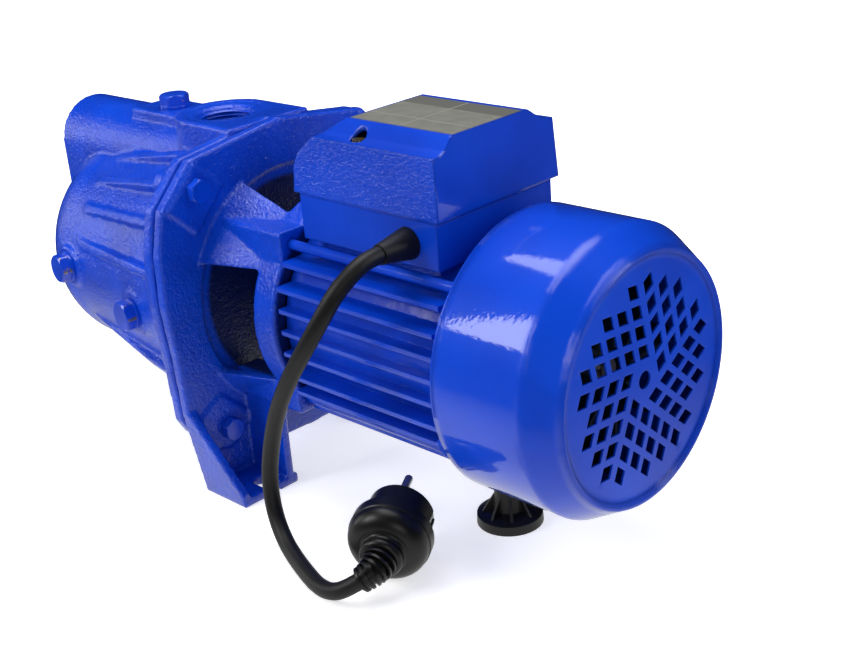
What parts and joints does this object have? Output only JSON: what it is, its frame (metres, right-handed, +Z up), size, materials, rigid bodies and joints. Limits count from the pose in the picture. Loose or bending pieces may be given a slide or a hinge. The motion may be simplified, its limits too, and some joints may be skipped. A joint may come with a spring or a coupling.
{
  "type": "shallow well jet pump",
  "caption": "Self-priming jet pump: cast casing with suction horn and top discharge, flanged motor bracket with feet, finned motor, fan cover, terminal box and mains lead.",
  "frame": {"origin": "on the floor, midway between the two open slots of the bracket's feet, under the shaft line", "axes": "+X along the shaft from the fan cover to the suction port, +Y to the side where the mains lead leaves, +Z up, along the discharge port"},
  "size_m": [0.462, 0.2231, 0.2333],
  "materials": {
    "blue_cast": "gloss enamel over a cast surface",
    "blue_aluminium": "gloss enamel over a die casting",
    "blue_sheet": "smooth gloss enamel",
    "blue_plastic": "lightly grained gloss plastic",
    "steel": "ground or turned",
    "blue_zinc": "painted over zinc plate",
    "yellow_zinc": "yellow zinc plate",
    "aluminium": "die cast",
    "brass": "turned",
    "copper": "enamelled wire",
    "rubber": "matt",
    "black_plastic": "matt",
    "grey_plastic": "moulded",
    "white_plastic": "moulded",
    "gasket": "sheet",
    "ceramic": "lapped",
    "label": "dull grey, blank"
  },
  "bodies": {
    "frame": {"box_gasket": "gasket", "capacitor": "grey_plastic", "capacitor_clip": "steel", "casing_bolts": "blue_zinc", "casing_gasket": "gasket", "cord_gland": "rubber", "diffuser": "black_plastic", "earth_screw": "brass", "fan_cover": "blue_sheet", "foot_stud": "steel", "front_bearing_outer": "steel", "jet_nozzle": "white_plastic", "lid_screws": "yellow_zinc", "motor_bracket": "blue_cast", "motor_housing": "blue_aluminium", "nameplate": "label", "plug_body": "black_plastic", "plug_earth_clips": "brass", "plug_pins": "steel", "power_cord": "rubber", "pump_casing": "blue_cast", "rear_bearing_outer": "steel", "rear_end_shield": "aluminium", "rubber_foot": "rubber", "seal_seat": "ceramic", "stator_core": "steel", "stator_windings": "copper", "terminal_block": "white_plastic", "terminal_box_base": "blue_plastic", "terminal_lid": "blue_plastic", "tie_rods": "steel", "venturi_ring": "rubber", "venturi_tube": "white_plastic", "wave_washer": "steel"},
    "rotor": {"shaft": "steel", "rotor_core": "aluminium", "impeller": "brass", "impeller_nut": "brass", "seal_head": "ceramic", "seal_spring": "steel", "slinger": "rubber", "front_bearing_inner": "steel", "rear_bearing_inner": "steel", "fan": "black_plastic", "fan_circlip": "steel"},
    "bearing_balls": {"front_bearing_balls": "steel", "rear_bearing_balls": "steel"},
    "priming_washer": {"priming_washer": "gasket"},
    "priming_plug": {"priming_plug": "brass"},
    "vacuum_gauge_washer": {"vacuum_gauge_washer": "gasket"},
    "vacuum_gauge_plug": {"vacuum_gauge_plug": "brass"},
    "pressure_gauge_washer": {"pressure_gauge_washer": "gasket"},
    "pressure_gauge_plug": {"pressure_gauge_plug": "brass"}
  },
  "joints": [
    {"name": "rotor_spin", "type": "hinge", "parent": "frame", "child": "rotor", "pos_m": [0, 0, 0.113], "axis": [1, 0, 0], "continuous": true},
    {"name": "ball_orbit", "type": "hinge", "parent": "frame", "child": "bearing_balls", "pos_m": [0, 0, 0.113], "axis": [1, 0, 0], "continuous": true},
    {"name": "priming_lift", "type": "slide", "parent": "frame", "child": "priming_washer", "axis": [0, 0, 1], "range_m": [0, 0.00903]},
    {"name": "priming_turn", "type": "hinge", "parent": "priming_washer", "child": "priming_plug", "pos_m": [0.123, 0, 0.2095], "axis": [0, 0, 1], "range_deg": [0, 2430]},
    {"name": "vacuum_gauge_lift", "type": "slide", "parent": "frame", "child": "vacuum_gauge_washer", "axis": [0.1327, 0.9912, 0], "range_m": [0, 0.00903]},
    {"name": "vacuum_gauge_turn", "type": "hinge", "parent": "vacuum_gauge_washer", "child": "vacuum_gauge_plug", "pos_m": [0.164, 0.07251, 0.115], "axis": [0.1327, 0.9912, 0], "range_deg": [0, 2430]},
    {"name": "pressure_gauge_lift", "type": "slide", "parent": "frame", "child": "pressure_gauge_washer", "axis": [0.1327, 0.9912, 0], "range_m": [0, 0.00903]},
    {"name": "pressure_gauge_turn", "type": "hinge", "parent": "pressure_gauge_washer", "child": "pressure_gauge_plug", "pos_m": [0.079, 0.08346, 0.105], "axis": [0.1327, 0.9912, 0], "range_deg": [0, 2430]}
  ],
  "couplings": [
    {"joint": "ball_orbit", "follows": "rotor_spin", "ratio": 0.3877},
    {"joint": "priming_lift", "follows": "priming_turn", "m_per_rad": 0.00021279},
    {"joint": "vacuum_gauge_lift", "follows": "vacuum_gauge_turn", "m_per_rad": 0.00021279},
    {"joint": "pressure_gauge_lift", "follows": "pressure_gauge_turn", "m_per_rad": 0.00021279}
  ]
}
